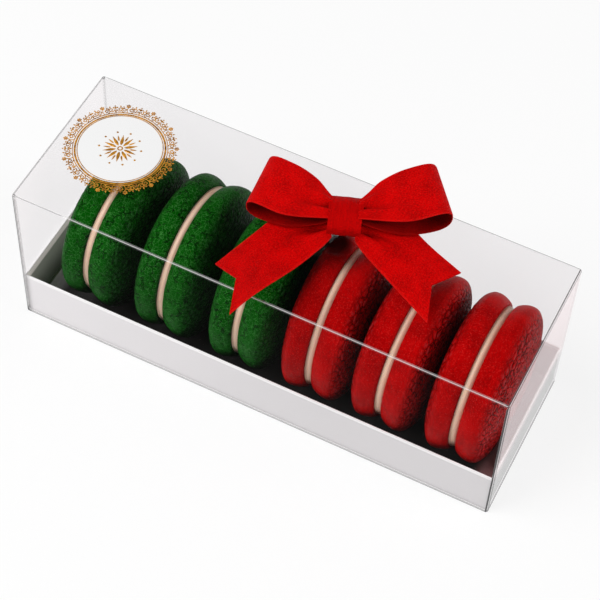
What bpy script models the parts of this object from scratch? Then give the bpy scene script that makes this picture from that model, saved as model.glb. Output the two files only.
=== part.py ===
"""Clear gift box of six macarons with a round label and a ribbon bow.

The box lies along X, its front faces -Y and +Z is up. The origin is on the
underside of the card tray, at its centre. All values are in metres.
"""
import math
import random

import bmesh
import bpy
from mathutils import Matrix, Vector

MM = 0.001

# Clear cover, a folded plastic box that is open underneath
COVER_LENGTH = 170 * MM
COVER_DEPTH = 57.6 * MM
COVER_HEIGHT = 61.5 * MM
COVER_WALL = 0.4 * MM
FOLD_RADIUS = 1.0 * MM
FIT_GAP = 0.3 * MM

# Card tray that the cover stands round
TRAY_HEIGHT = 19.2 * MM
TRAY_WALL = 0.8 * MM
TRAY_FLOOR = 1.0 * MM
TRAY_FOLD = 0.3 * MM

# Macarons, standing on edge in a row along X
SHELL_RADIUS = 26.5 * MM
SHELL_THICKNESS = 11.0 * MM
SHELL_BELLY = 4.6 * MM
SHELL_INNER_RADIUS = 24.9 * MM
SHELL_ROUNDNESS = 2.5
SHELL_SEGMENTS = 30
SHELL_WOBBLE = 0.2 * MM
FILLING_RADIUS = 25.1 * MM
FILLING_THICKNESS = 2.0 * MM
FILLING_SEGMENTS = 32
ROW_SHIFT = -0.3 * MM
# Colour, place along X and turn in degrees
MACARONS = (
    ("green", -60.8 * MM, -4.2),
    ("green", -34.7 * MM, -1.2),
    ("green", -7.6 * MM, -1.0),
    ("red", 17.9 * MM, 0.4),
    ("red", 43.3 * MM, -1.8),
    ("red", 68.3 * MM, -0.4),
)

# Round label on the cover's top
LABEL_CENTRE = Vector((-64.0 * MM, 3.4 * MM))
LABEL_DISC_RADIUS = 14.0 * MM
LABEL_BORDER_RADIUS = 19.0 * MM
LABEL_SCALLOP = 0.7 * MM
LABEL_SCALLOPS = 16
LABEL_THICKNESS = 0.2 * MM

# Ribbon bow on the cover's top
BOW_CENTRE = Vector((13.2 * MM, 8.3 * MM))
BOW_TURN_DEGREES = 20.5
RIBBON_WIDTH = 18.6 * MM
RIBBON_THICKNESS = 0.7 * MM
KNOT_WIDTH = 10.2 * MM
KNOT_LENGTH = 13.4 * MM
KNOT_TOP = 8.8 * MM
KNOT_BOTTOM = 0.4 * MM
KNOT_BACK = 1.2 * MM

COVER_TOP = COVER_HEIGHT
TRAY_LENGTH = COVER_LENGTH - 2 * (COVER_WALL + FIT_GAP)
TRAY_DEPTH = COVER_DEPTH - 2 * (COVER_WALL + FIT_GAP)
FILLING_SPACE = FILLING_THICKNESS + 2 * FIT_GAP
LABEL_HEIGHT = COVER_TOP + FIT_GAP


def clear_scene():
    for obj in list(bpy.data.objects):
        bpy.data.objects.remove(obj, do_unlink=True)


def material(name, colour, roughness, alpha=1.0, metallic=0.0):
    mat = bpy.data.materials.new(name)
    mat.use_nodes = True
    shader = mat.node_tree.nodes["Principled BSDF"]
    shader.inputs["Base Color"].default_value = (*colour, 1.0)
    shader.inputs["Roughness"].default_value = roughness
    shader.inputs["Metallic"].default_value = metallic
    shader.inputs["Alpha"].default_value = alpha
    return mat


def add_object(name, bm, mat, smooth_angle=None):
    """Turn a bmesh into a named object, shaded smooth below an angle."""
    bmesh.ops.recalc_face_normals(bm, faces=bm.faces)
    mesh = bpy.data.meshes.new(name)
    bm.to_mesh(mesh)
    bm.free()
    mesh.materials.append(mat)
    if smooth_angle is not None:
        mesh.shade_smooth()
        mesh.set_sharp_from_angle(angle=math.radians(smooth_angle))
    obj = bpy.data.objects.new(name, mesh)
    bpy.context.collection.objects.link(obj)
    return obj


def add_empty(name, location, turn_degrees):
    empty = bpy.data.objects.new(name, None)
    empty.location = location
    empty.rotation_euler = (0, 0, math.radians(turn_degrees))
    bpy.context.collection.objects.link(empty)
    return empty


def block(length, depth, bottom, top):
    """A box that is centred on the Z axis."""
    bm = bmesh.new()
    size = Matrix.Diagonal((length, depth, top - bottom, 1))
    place = Matrix.Translation((0, 0, (bottom + top) / 2))
    bmesh.ops.create_cube(bm, size=1, matrix=place @ size)
    return bm


def facing(bm, direction):
    """The faces whose normal points along a direction."""
    bm.normal_update()
    return [face for face in bm.faces if face.normal.dot(Vector(direction)) > 0.99]


def make_cover(mat):
    """Four walls and a top, with rounded folds, open at the bottom."""
    bm = block(COVER_LENGTH, COVER_DEPTH, 0, COVER_HEIGHT)
    bottom = facing(bm, (0, 0, -1))
    rim = {edge for face in bottom for edge in face.edges}
    folds = [edge for edge in bm.edges if edge not in rim]
    bmesh.ops.bevel(bm, geom=folds, offset=FOLD_RADIUS, segments=3, profile=0.5, affect="EDGES")
    bmesh.ops.delete(bm, geom=facing(bm, (0, 0, -1)), context="FACES")
    cover = add_object("cover", bm, mat, smooth_angle=40)
    wall = cover.modifiers.new("wall", "SOLIDIFY")
    wall.thickness = COVER_WALL
    wall.offset = -1
    wall.use_even_offset = True


def make_tray(mat):
    """A shallow open tray with folded walls."""
    bm = block(TRAY_LENGTH, TRAY_DEPTH, 0, TRAY_HEIGHT)
    rim = facing(bm, (0, 0, 1))
    bmesh.ops.inset_region(bm, faces=rim, thickness=TRAY_WALL)
    well = bmesh.ops.extrude_face_region(bm, geom=rim)["geom"]
    bmesh.ops.delete(bm, geom=rim, context="FACES")
    floor = [item for item in well if isinstance(item, bmesh.types.BMVert)]
    bmesh.ops.translate(bm, vec=(0, 0, TRAY_FLOOR - TRAY_HEIGHT), verts=floor)
    tray = add_object("tray", bm, mat)
    fold = tray.modifiers.new("fold", "BEVEL")
    fold.width = TRAY_FOLD
    fold.segments = 2


def turned_solid(profile, segments):
    """Spin a profile of (distance along X, radius) points round the X axis."""
    bm = bmesh.new()
    points = [bm.verts.new((along, 0, radius)) for along, radius in profile]
    edges = [bm.edges.new(pair) for pair in zip(points, points[1:])]
    bmesh.ops.spin(
        bm,
        geom=points + edges,
        cent=(0, 0, 0),
        axis=(1, 0, 0),
        angle=2 * math.pi,
        steps=segments,
        use_merge=True,
    )
    bmesh.ops.remove_doubles(bm, verts=bm.verts, dist=0.01 * MM)
    return bm


def shell_profile():
    """The half outline of one shell, from its flat face to its domed one."""
    belly = SHELL_RADIUS - SHELL_INNER_RADIUS
    dome = SHELL_THICKNESS - SHELL_BELLY
    points = [(0, 0), (0, SHELL_INNER_RADIUS * 0.6)]
    for step in range(3):
        along = SHELL_BELLY * step / 3
        drop = ((SHELL_BELLY - along) / SHELL_BELLY) ** 2
        points.append((along, SHELL_RADIUS - belly * drop))
    for angle in (0, 22, 40, 56, 70, 81, 90):
        rise = math.sin(math.radians(angle)) ** (2 / SHELL_ROUNDNESS)
        reach = max(math.cos(math.radians(angle)), 0) ** (2 / SHELL_ROUNDNESS)
        points.append((SHELL_BELLY + dome * rise, SHELL_RADIUS * reach))
    points[-1] = (SHELL_THICKNESS, 0)
    return points


def bake_unevenly(bm, seed):
    """Make a turned shell slightly out of round, as baked food is."""
    draw = random.Random(seed)
    waves = [(count, draw.uniform(0.4, 1.0) / (count - 1), draw.uniform(0, 2 * math.pi)) for count in (2, 3, 4)]
    slope = draw.uniform(-0.25, 0.25) * MM
    for vert in bm.verts:
        radius = math.hypot(vert.co.y, vert.co.z)
        if radius < 1 * MM:
            continue
        angle = math.atan2(vert.co.z, vert.co.y)
        wave = sum(size * math.cos(count * angle + phase) for count, size, phase in waves)
        grow = 1 + SHELL_WOBBLE * wave / SHELL_RADIUS
        vert.co.y *= grow
        vert.co.z *= grow
        edge = radius / SHELL_RADIUS
        dome = vert.co.x / SHELL_THICKNESS
        vert.co.x += dome * edge * (1 - edge) * slope * 4 * math.cos(angle + waves[0][2])


def make_shell(name, side, mat, seed, parent):
    """One shell, on the left (side -1) or the right (side 1) of its filling."""
    bm = turned_solid(shell_profile(), SHELL_SEGMENTS)
    bake_unevenly(bm, seed)
    bmesh.ops.scale(bm, vec=(side, 1, 1), verts=bm.verts)
    bmesh.ops.translate(bm, vec=(side * FILLING_SPACE / 2, 0, 0), verts=bm.verts)
    shell = add_object(name, bm, mat, smooth_angle=50)
    shell.parent = parent


def make_filling(name, mat, parent):
    """A thin disc of filling with a softly rounded rim."""
    half = FILLING_THICKNESS / 2
    rounding = 0.5 * MM
    profile = [
        (-half, 0),
        (-half, FILLING_RADIUS - rounding),
        (-half + rounding, FILLING_RADIUS),
        (half - rounding, FILLING_RADIUS),
        (half, FILLING_RADIUS - rounding),
        (half, 0),
    ]
    bm = turned_solid(profile, FILLING_SEGMENTS)
    filling = add_object(name, bm, mat, smooth_angle=50)
    filling.parent = parent


def make_macarons(shell_mats, filling_mat):
    """The macarons stand to the right, which leaves a gap at the left end."""
    height = TRAY_FLOOR + FIT_GAP + SHELL_RADIUS + 1.5 * SHELL_WOBBLE
    for number, (colour, along, turn) in enumerate(MACARONS, start=1):
        name = f"macaron_{number}"
        parent = add_empty(f"{name}_centre", (along, ROW_SHIFT, height), turn)
        make_shell(f"{name}_shell_left", -1, shell_mats[colour], 2 * number, parent)
        make_shell(f"{name}_shell_right", 1, shell_mats[colour], 2 * number + 1, parent)
        make_filling(f"{name}_filling", filling_mat, parent)


def make_label_disc(mat):
    """The plain disc in the middle of the label."""
    bm = bmesh.new()
    bmesh.ops.create_cone(
        bm,
        cap_ends=True,
        segments=64,
        radius1=LABEL_DISC_RADIUS,
        radius2=LABEL_DISC_RADIUS,
        depth=LABEL_THICKNESS,
    )
    disc = add_object("label_disc", bm, mat, smooth_angle=40)
    disc.location = (*LABEL_CENTRE, LABEL_HEIGHT + LABEL_THICKNESS / 2)


def make_label_border(mat):
    """The ornamental ring round the disc, with a scalloped outer edge."""
    inner = LABEL_DISC_RADIUS + FIT_GAP
    half = LABEL_THICKNESS / 2
    outline = [(-half, inner), (half, inner), (half, LABEL_BORDER_RADIUS), (-half, LABEL_BORDER_RADIUS)]
    bm = turned_solid(outline + outline[:1], 6 * LABEL_SCALLOPS)
    bmesh.ops.rotate(bm, verts=bm.verts, matrix=Matrix.Rotation(-math.pi / 2, 3, "Y"))
    for vert in bm.verts:
        angle = math.atan2(vert.co.y, vert.co.x)
        if vert.co.to_2d().length > (inner + LABEL_BORDER_RADIUS) / 2:
            reach = LABEL_BORDER_RADIUS + LABEL_SCALLOP * math.cos(LABEL_SCALLOPS * angle)
            vert.co.x = reach * math.cos(angle)
            vert.co.y = reach * math.sin(angle)
    border = add_object("label_border", bm, mat, smooth_angle=40)
    border.location = (*LABEL_CENTRE, LABEL_HEIGHT + half)


def ease(value):
    """A smooth step from 0 to 1."""
    value = min(max(value, 0), 1)
    return value * value * (3 - 2 * value)


def ribbon(name, surface, along_steps, across_steps, mat, parent):
    """A strip whose middle surface is surface(along, across).

    along runs from 0 to 1 and across from -1, the front edge, to 1.
    """
    bm = bmesh.new()
    bmesh.ops.create_grid(bm, x_segments=along_steps, y_segments=across_steps, size=1)
    for vert in bm.verts:
        vert.co = surface((vert.co.x + 1) / 2, vert.co.y)
    strip = add_object(name, bm, mat, smooth_angle=60)
    thick = strip.modifiers.new("thickness", "SOLIDIFY")
    thick.thickness = RIBBON_THICKNESS
    thick.offset = 0
    thick.use_even_offset = True
    strip.parent = parent


def loop_surface(side, reach, lift_degrees, rise, back_rise):
    """One bow loop, which leaves the knot low, turns over and comes back on top.

    rise is the loop's height and back_rise what its back edge adds to that.
    """
    start = KNOT_WIDTH / 2 + FIT_GAP
    lift = math.radians(lift_degrees)
    low = 2.3 * MM
    gathered = 0.44
    flattened = 0.24

    def surface(along, across):
        turn = 2 * math.pi * along
        out = (1 - math.cos(turn)) / 2
        upper = -math.sin(turn)
        opening = math.sin(math.pi / 2 * min(1, 1.6 * out))
        half = RIBBON_WIDTH / 2 * (gathered + (1 - gathered) * opening)
        away = out * reach
        step = across * half - (0.8 + 0.8 * upper) * MM * math.sin(math.pi * out)
        x = start + away * math.cos(lift) - step * math.sin(lift) * ease(out * 3)
        y = 1.6 * MM + away * math.sin(lift) + step * math.cos(lift)
        tilt = back_rise * out * (1 + across) / 4
        swell = (flattened + (1 - flattened) * opening) * rise / 2
        z = low + rise / 2 + swell * upper + tilt * (1 + max(upper, 0))
        return Vector((side * x, y, z))

    return surface


def tail_surface(side, direction_degrees, inner_edge, length, skew, curls):
    """One ribbon end, which leaves the knot's side and lies down on the cover.

    inner_edge is how far its front edge passes from the bow's centre. The end
    is cut to a notch, skew makes its front tip the longer one, and curls are
    how far its front and its back tip rise.
    """
    heading = math.radians(direction_degrees)
    ahead = Vector((math.cos(heading), -math.sin(heading)))
    sideways = Vector((math.sin(heading), math.cos(heading)))
    start = 6.0 * MM
    free = 9.0 * MM
    notch = 6.0 * MM
    rest = FIT_GAP + RIBBON_THICKNESS * 0.65

    def surface(along, across):
        tip = length - notch * (1 - abs(across)) - skew * across
        away = start + along * (tip - start)
        flat = ahead * away + sideways * (inner_edge + (across + 1) / 2 * RIBBON_WIDTH)
        gathered = Vector((KNOT_WIDTH / 2 + FIT_GAP, (2.9 * across - 3.6) * MM))
        loose = ease((away - start) / free)
        place = gathered.lerp(flat, loose)
        curl = curls[0] + (curls[1] - curls[0]) * (across + 1) / 2
        raised = curl * ease((away - 16 * MM) / (30 * MM))
        gather_height = (1 - ease((away - start) / (0.8 * free))) * (2.5 + 0.4 * across) * MM
        return Vector((side * place.x, place.y, rest + raised + gather_height))

    return surface


def make_knot(mat, parent):
    """The band round the middle of the bow, rounded at its front and back."""
    bm = block(KNOT_WIDTH, KNOT_LENGTH, KNOT_BOTTOM, KNOT_TOP)
    bmesh.ops.subdivide_edges(bm, edges=bm.edges, cuts=5, use_grid_fill=True)
    middle = (KNOT_BOTTOM + KNOT_TOP) / 2
    half_height = (KNOT_TOP - KNOT_BOTTOM) / 2
    for vert in bm.verts:
        across = vert.co.x / (KNOT_WIDTH / 2)
        back = vert.co.y / (KNOT_LENGTH / 2)
        up = (vert.co.z - middle) / half_height
        vert.co.x *= 0.96 + 0.03 * back - 0.02 * up
        vert.co.y *= 1 - 0.22 * abs(up) ** 3
        crown = 0.3 * abs(back) ** 3 + 0.05 * across * across
        vert.co.z = middle + half_height * up * (1 - crown)
        vert.co.y += KNOT_BACK
    knot = add_object("bow_knot", bm, mat, smooth_angle=50)
    knot.parent = parent


def make_bow(mat):
    """Two loops, two notched ends and the knot that holds them."""
    parent = add_empty("bow_centre", (*BOW_CENTRE, COVER_TOP), BOW_TURN_DEGREES)
    left_loop = loop_surface(-1, 25.2 * MM, 16, 9.2 * MM, 2.2 * MM)
    right_loop = loop_surface(1, 27.4 * MM, 20, 10.8 * MM, 2.6 * MM)
    ribbon("bow_loop_left", left_loop, 30, 6, mat, parent)
    ribbon("bow_loop_right", right_loop, 30, 6, mat, parent)
    left_tail = tail_surface(-1, 53, -0.3 * MM, 45 * MM, 6.4 * MM, (5 * MM, 0.5 * MM))
    right_tail = tail_surface(1, 48.5, -1.3 * MM, 39.9 * MM, 3.8 * MM, (0.5 * MM, 4.5 * MM))
    ribbon("bow_tail_left", left_tail, 14, 8, mat, parent)
    ribbon("bow_tail_right", right_tail, 14, 8, mat, parent)
    make_knot(mat, parent)


def main():
    clear_scene()
    clear_plastic = material("clear_plastic", (0.95, 0.96, 0.96), 0.05, alpha=0.15)
    white_card = material("white_card", (0.86, 0.86, 0.85), 0.6)
    green_shell = material("green_shell", (0.010, 0.115, 0.018), 0.42)
    red_shell = material("red_shell", (0.42, 0.004, 0.006), 0.42)
    filling = material("filling", (0.78, 0.56, 0.42), 0.6)
    label_film = material("label_film", (0.9, 0.9, 0.88), 0.4)
    gold_foil = material("gold_foil", (0.72, 0.46, 0.13), 0.3, metallic=1.0)
    red_ribbon = material("red_ribbon", (0.60, 0.004, 0.008), 0.7)
    make_tray(white_card)
    make_macarons({"green": green_shell, "red": red_shell}, filling)
    make_cover(clear_plastic)
    make_label_disc(label_film)
    make_label_border(gold_foil)
    make_bow(red_ribbon)


main()
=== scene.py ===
"""Dresses the clear gift box of macarons: baked shells, filling, label, ribbon, card and film.

Lengths in the geometry are in metres unless a name says otherwise, and those in the finishes
are in millimetres. The box lies along X, its front faces -Y and +Z is up, with the origin
under the middle of the tray.
"""
import math
import random

import bmesh
import bpy
import numpy as np
from mathutils import Matrix, Vector, noise


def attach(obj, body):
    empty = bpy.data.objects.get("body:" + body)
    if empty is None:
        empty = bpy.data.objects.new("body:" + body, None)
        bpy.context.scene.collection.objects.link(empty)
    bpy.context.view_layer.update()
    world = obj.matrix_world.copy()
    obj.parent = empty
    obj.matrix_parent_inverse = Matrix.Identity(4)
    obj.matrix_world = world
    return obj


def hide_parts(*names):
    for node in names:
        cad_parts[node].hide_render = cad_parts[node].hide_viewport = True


bl_info = {
    "name": "Box of macarons",
    "version": (1, 0, 0),
    "blender": (4, 5, 0),
    "location": "View3D > Sidebar > Macarons",
    "description": "Builds the pieces and finishes of a clear gift box of macarons",
    "category": "Object",
}

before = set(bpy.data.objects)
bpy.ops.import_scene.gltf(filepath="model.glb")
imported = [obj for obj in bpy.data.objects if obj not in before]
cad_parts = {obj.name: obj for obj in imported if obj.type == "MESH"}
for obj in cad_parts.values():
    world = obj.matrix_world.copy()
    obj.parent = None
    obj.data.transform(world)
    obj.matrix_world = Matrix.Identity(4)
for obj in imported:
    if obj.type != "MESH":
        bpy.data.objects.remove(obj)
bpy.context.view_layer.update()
MM = 0.001

# The box, as the solids have it
COVER_LENGTH = 170 * MM
COVER_DEPTH = 57.6 * MM
COVER_TOP = 61.5 * MM
TRAY_HALF = Vector((84.2, 28.0)) * MM
TRAY_TOP = 19.2 * MM

# The macarons, as the solids have them: colour, place along X and turn in degrees
SHELL_RADIUS = 26.5 * MM
SHELL_THICKNESS = 11.0 * MM
SHELL_BELLY = 4.6 * MM
SHELL_INNER_RADIUS = 24.9 * MM
SHELL_ROUNDNESS = 2.5
SHELL_WOBBLE = 0.2 * MM
FILLING_RADIUS = 25.1 * MM
FILLING_THICKNESS = 2.0 * MM
FILLING_SPACE = 2.6 * MM
FILLING_ROUNDING = 0.5 * MM
ROW_SHIFT = -0.3 * MM
ROW_HEIGHT = 28.1 * MM
MACARONS = (
    ("green", -60.8 * MM, -4.2),
    ("green", -34.7 * MM, -1.2),
    ("green", -7.6 * MM, -1.0),
    ("red", 17.9 * MM, 0.4),
    ("red", 43.3 * MM, -1.8),
    ("red", 68.3 * MM, -0.4),
)

# The label and the bow, as the solids have them
LABEL_CENTRE = Vector((-64.0 * MM, 3.4 * MM))
LABEL_BOTTOM = 61.8 * MM
LABEL_TOP = 62.0 * MM
BOW_CENTRE = Vector((13.2 * MM, 8.3 * MM))
BOW_TURN = math.radians(20.5)
RIBBON_WIDTH = 18.6 * MM
KNOT_WIDTH = 10.2 * MM
KNOT_LENGTH = 13.4 * MM
KNOT_TOP = 8.8 * MM
KNOT_BOTTOM = 0.4 * MM
KNOT_BACK = 1.2 * MM
TUCK = 1.2 * MM
NOTCH = 6.0 * MM
# Each loop: side, reach, lift in degrees, rise, and how much higher its back is
LOOPS = {
    "left": (-1, 25.2 * MM, 16, 9.2 * MM, 2.2 * MM),
    "right": (1, 27.4 * MM, 20, 10.8 * MM, 2.6 * MM),
}
# Each cut end: side, direction in degrees, inner edge, length, slant, and the curls of its edges
TAILS = {
    "left": (-1, 53, -0.3 * MM, 45.0 * MM, 6.4 * MM, (5.0 * MM, 0.5 * MM)),
    "right": (1, 48.5, -1.3 * MM, 39.9 * MM, 3.8 * MM, (0.5 * MM, 4.5 * MM)),
}

# The print, in millimetres. Each ring has its radius and its width
PRINT_RINGS = ((13.70, 0.24), (14.45, 0.62), (15.20, 0.30))
DISC_RADIUS = 14
BORDER_RADIUS = 16
ROSETTE_RADIUS = 5.6

# How finely the pieces are built
FILLING_SEGMENTS = 180
LOOP_STEPS = 150
TAIL_STEPS = 80
ACROSS_STEPS = 41
KNOT_CUTS = 39

# The studio, with the camera as fitted to the box's corners in the photograph
FLOOR_SIZE = 4
FLOOR_GAP = 0.2 * MM
LIGHT_AIM = Vector((0, 0, 0.03))
KEY_PLACE, KEY_SIZE = (-0.62, -0.50, 0.95), 0.75
SIDE_PLACE, SIDE_SIZE = (0.95, 0.15, 0.55), 0.6
CAMERA_PLACE = (0.15469, -0.33878, 0.53868)
CAMERA_TURN = Vector((2.449649, 0.592816, -0.149058))
SENSOR_WIDTH_MM = 36
LENS_MM = 117


LENGTH = {"max": 10 * MM, "unit": "LENGTH", "precision": 5}
SHARE = {"max": 1, "subtype": "FACTOR"}
POWER = {"max": 100, "unit": "POWER"}


def number_setting(name, description, default, limits):
    return bpy.props.FloatProperty(name=name, description=description, default=default, min=0, **limits)


def colour_setting(name, description, default):
    return bpy.props.FloatVectorProperty(
        name=name, description=description, default=default, subtype="COLOR", size=3, min=0, max=1
    )


def count_setting(name, description, default, least, most):
    return bpy.props.IntProperty(name=name, description=description, default=default, min=least, max=most)


class MacaronSettings(bpy.types.PropertyGroup):
    green: colour_setting("Green shell", "Colour of the green shells", (0.0014, 0.070, 0.0012))
    # The ridge colours are partly the ridges' own paler colour and partly painted glints on them.
    green_ridge: colour_setting("Green ridges", "Colour of the fine ridges on green", (0.050, 0.235, 0.045))
    red: colour_setting("Red shell", "Colour of the red shells", (0.415, 0.0003, 0.0008))
    red_ridge: colour_setting("Red ridges", "Colour of the fine ridges on red", (0.80, 0.028, 0.022))
    filling: colour_setting("Filling", "Colour of the filling", (0.80, 0.555, 0.405))
    swell: number_setting("Swell", "How far the filling swells between the shells", 0.22 * MM, LENGTH)
    lump: number_setting("Lumps", "Height of the shells' slow unevenness", 0.14 * MM, LENGTH)
    crackle: number_setting("Crackle", "Depth of the cracks between the skin's cells", 0.08 * MM, LENGTH)
    wrinkle: number_setting("Wrinkles", "Depth of the wrinkles on the domed faces", 0.20 * MM, LENGTH)
    segments: count_setting("Segments", "Steps round each shell", 250, 48, 320)


class RibbonSettings(bpy.types.PropertyGroup):
    colour: colour_setting("Ribbon", "Colour of the ribbon", (0.60, 0.0003, 0.0007))
    # The shade colour also darkens the painted shade inside the loops and creases.
    shade: colour_setting("Ribbon shade", "Colour deep in the weave", (0.31, 0.0002, 0.0005))
    thickness: number_setting("Thickness", "Thickness of the ribbon", 0.6 * MM, LENGTH)
    overlap: number_setting("Overlap", "How far the knot covers the pieces on each side", 0.5 * MM, LENGTH)
    pleat: number_setting("Pleats", "Depth of the pleats beside the knot", 2.0 * MM, LENGTH)


class LabelSettings(bpy.types.PropertyGroup):
    paper: colour_setting("Label", "Colour of the label's disc", (0.80, 0.80, 0.80))
    gold: colour_setting("Gold", "Colour of the gold print", (0.68, 0.31, 0.026))
    relief: number_setting("Relief", "Height of the gold print", 0.16 * MM, LENGTH)
    repeats: count_setting("Repeats", "How often the border's motif comes round", 13, 8, 24)


class BoxSettings(bpy.types.PropertyGroup):
    card: colour_setting("Card", "Colour of the tray's card", (0.87, 0.855, 0.86))
    haze: number_setting("Haze", "How much the clear film whitens what is behind it", 0.0005, SHARE)
    fold: number_setting("Folds", "How strongly the film's folds show", 0.72, SHARE)


class StageSettings(bpy.types.PropertyGroup):
    floor: colour_setting("Floor", "Colour of the floor", (0.16, 0.16, 0.16))
    glow: number_setting("Floor glow", "Brightness of the floor's own light", 0.80, SHARE)
    ambient: number_setting("Ambient light", "Strength of the light from all round", 0.26, {"max": 3})
    key: number_setting("Key light", "Power of the large soft light", 14.0, POWER)
    side: number_setting("Side light", "Power of the weaker soft light", 6.5, POWER)


class Value:
    """A shader socket that adds Math nodes where it stands in an expression."""

    def __init__(self, finish, socket):
        self.finish = finish
        self.socket = socket

    def __add__(self, other):
        return self.finish.maths("ADD", self, other)

    def __sub__(self, other):
        return self.finish.maths("SUBTRACT", self, other)

    def __rsub__(self, other):
        return self.finish.maths("SUBTRACT", other, self)

    def __mul__(self, other):
        return self.finish.maths("MULTIPLY", self, other)

    def __abs__(self):
        return self.finish.maths("ABSOLUTE", self)

    __radd__ = __add__


class Finish:
    """A material that is put together node by node."""

    def __init__(self, name):
        self.material = bpy.data.materials.new(name)
        self.material.use_nodes = True
        self.tree = self.material.node_tree
        self.tree.nodes.clear()

    def node(self, kind, settings=None, sockets=None, output=0):
        """Add a node: its settings come first, then the values or links of its sockets."""
        node = self.tree.nodes.new(kind)
        for key, value in (settings or {}).items():
            setattr(node, key, value)
        for key, value in (sockets or {}).items():
            if isinstance(value, Value):
                self.tree.links.new(value.socket, node.inputs[key])
            else:
                node.inputs[key].default_value = value
        return Value(self, node.outputs[output])

    def maths(self, operation, *values):
        return self.node("ShaderNodeMath", {"operation": operation}, dict(enumerate(values)))

    def vector(self, operation, *values):
        return self.node("ShaderNodeVectorMath", {"operation": operation}, dict(enumerate(values)))

    def smooth(self, value, low, high):
        """0 up to low, 1 from high on and a soft step between."""
        sockets = {"Value": value, "From Min": low, "From Max": high}
        return self.node("ShaderNodeMapRange", {"interpolation_type": "SMOOTHSTEP"}, sockets)

    def fall(self, value, low, high):
        """1 up to low, 0 from high on and a soft step between."""
        return 1 - self.smooth(value, low, high)

    def mix(self, share, first, second):
        return self.node("ShaderNodeMix", {"data_type": "RGBA"}, {0: share, 6: first, 7: second}, output=2)

    def scaled(self, vector, *shares):
        return self.vector("MULTIPLY", vector, shares)

    def split(self, vector):
        outputs = self.node("ShaderNodeSeparateXYZ", None, {0: vector}).socket.node.outputs
        return [Value(self, socket) for socket in outputs]

    def stored(self, name):
        """A vector that a mesh keeps at each of its points."""
        return self.node("ShaderNodeAttribute", {"attribute_name": name}, output=1)

    def place_mm(self):
        """The surface's place in the object, in millimetres."""
        place = self.node("ShaderNodeTexCoord", output=3)
        return self.scaled(place, 1000, 1000, 1000)

    def cloud(self, vector, scale, detail=2.0, roughness=0.5):
        sockets = {"Vector": vector, "Scale": scale, "Detail": detail, "Roughness": roughness}
        return self.node("ShaderNodeTexNoise", None, sockets)

    def cell_edge(self, vector, scale):
        """Distance to the nearest border between irregular cells."""
        settings = {"feature": "DISTANCE_TO_EDGE"}
        return self.node("ShaderNodeTexVoronoi", settings, {"Vector": vector, "Scale": scale})

    def bump(self, height_mm, strength=1.0):
        sockets = {"Strength": strength, "Distance": MM, "Height": height_mm}
        return self.node("ShaderNodeBump", None, sockets)

    def surface(self, sockets):
        return self.node("ShaderNodeBsdfPrincipled", None, sockets)

    def done(self, shader):
        output = self.tree.nodes.new("ShaderNodeOutputMaterial")
        self.tree.links.new(shader.socket, output.inputs["Surface"])
        return self.material


def opaque(colour, share=1.0):
    """A share of a colour, as a shader socket takes it."""
    return (*(min(channel * share, 1.0) for channel in colour), 1.0)


def shell_finish(name, colour, ridge, ridge_glint, cracked, creased):
    """Baked skin with fine cells, cracks between them and scale-like creases on its dome.

    cracked and creased are how strongly the two show. Cracks and the creases' grooves carry painted shade,
    the creases' ridges painted glints, and the pale net and specks are partly paler skin and partly painted
    glints.
    """
    f = Finish(name)
    place = f.place_mm()
    skin = f.stored("skin")
    wander = f.node("ShaderNodeTexNoise", None, {"Vector": place, "Scale": 0.7, "Detail": 2.0}, 1)
    warped = f.vector("ADD", place, f.scaled(wander, 1.8, 1.8, 1.8))
    patch = f.cloud(place, 0.13, 2.0)
    tint = f.cloud(place, 0.30, 3.0, 0.6)
    grain = f.cloud(place, 1.5, 3.0, 0.7)
    net = f.fall(f.cell_edge(warped, 0.74), 0.0, 0.065)
    crack = f.fall(f.cell_edge(warped, 0.40), 0.0, 0.075) * f.smooth(tint, 0.47, 0.55)
    stretched = f.scaled(f.vector("ADD", skin, wander), 0.33, 0.33, 0.62)
    scale_edge = f.cell_edge(stretched, 1.0)
    dome = f.smooth(f.split(skin)[2], 30.5, 35.5)
    groove = f.fall(scale_edge, 0.02, 0.13) * (0.06 + dome * 0.94) * creased
    ridge_top = f.smooth(scale_edge, 0.16, 0.36) * dome * creased
    lines = f.cloud(f.scaled(skin, 0.10, 0.10, 1.7), 1.0, 2.0)
    speck = f.smooth(f.cloud(place, 2.4, 1.0, 0.6), 0.58, 0.68)
    tone = patch * 0.50 + grain * 0.50
    base = f.mix(f.smooth(tone, 0.38, 0.60), opaque(colour, 0.62 + 0.20 * cracked), opaque(colour))
    # Pale net and specks: partly the skin's own paler ridges, partly painted glints on them.
    pale = net * cracked * (0.18 + patch * 0.75) + speck * 0.36
    base = f.mix(pale, base, opaque(ridge))
    # Painted glint on the ridges of the creases on the dome.
    base = f.mix(ridge_top * f.smooth(tint, 0.30, 0.55) * 0.8, base, opaque(ridge_glint))
    # Painted shade in the cracks and in the creases' grooves. The streaks along the rim are the skin's own
    # tone.
    dark = crack * cracked * 0.95 + groove * 0.90 + f.smooth(lines, 0.60, 0.75) * 0.20
    base = f.mix(f.maths("MINIMUM", dark, 0.9), base, opaque(colour, 0.10))
    height = (net * 0.07 - crack * 0.22) * cracked + grain * 0.12 + lines * 0.08
    height = height + ridge_top * 0.20 - groove * 0.22
    return f.done(f.surface({
        "Base Color": base,
        "Roughness": 0.34 + grain * 0.20,
        "Specular IOR Level": 0.04,
        "Specular Tint": opaque(ridge),
        "Normal": f.bump(height),
    }))


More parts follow.
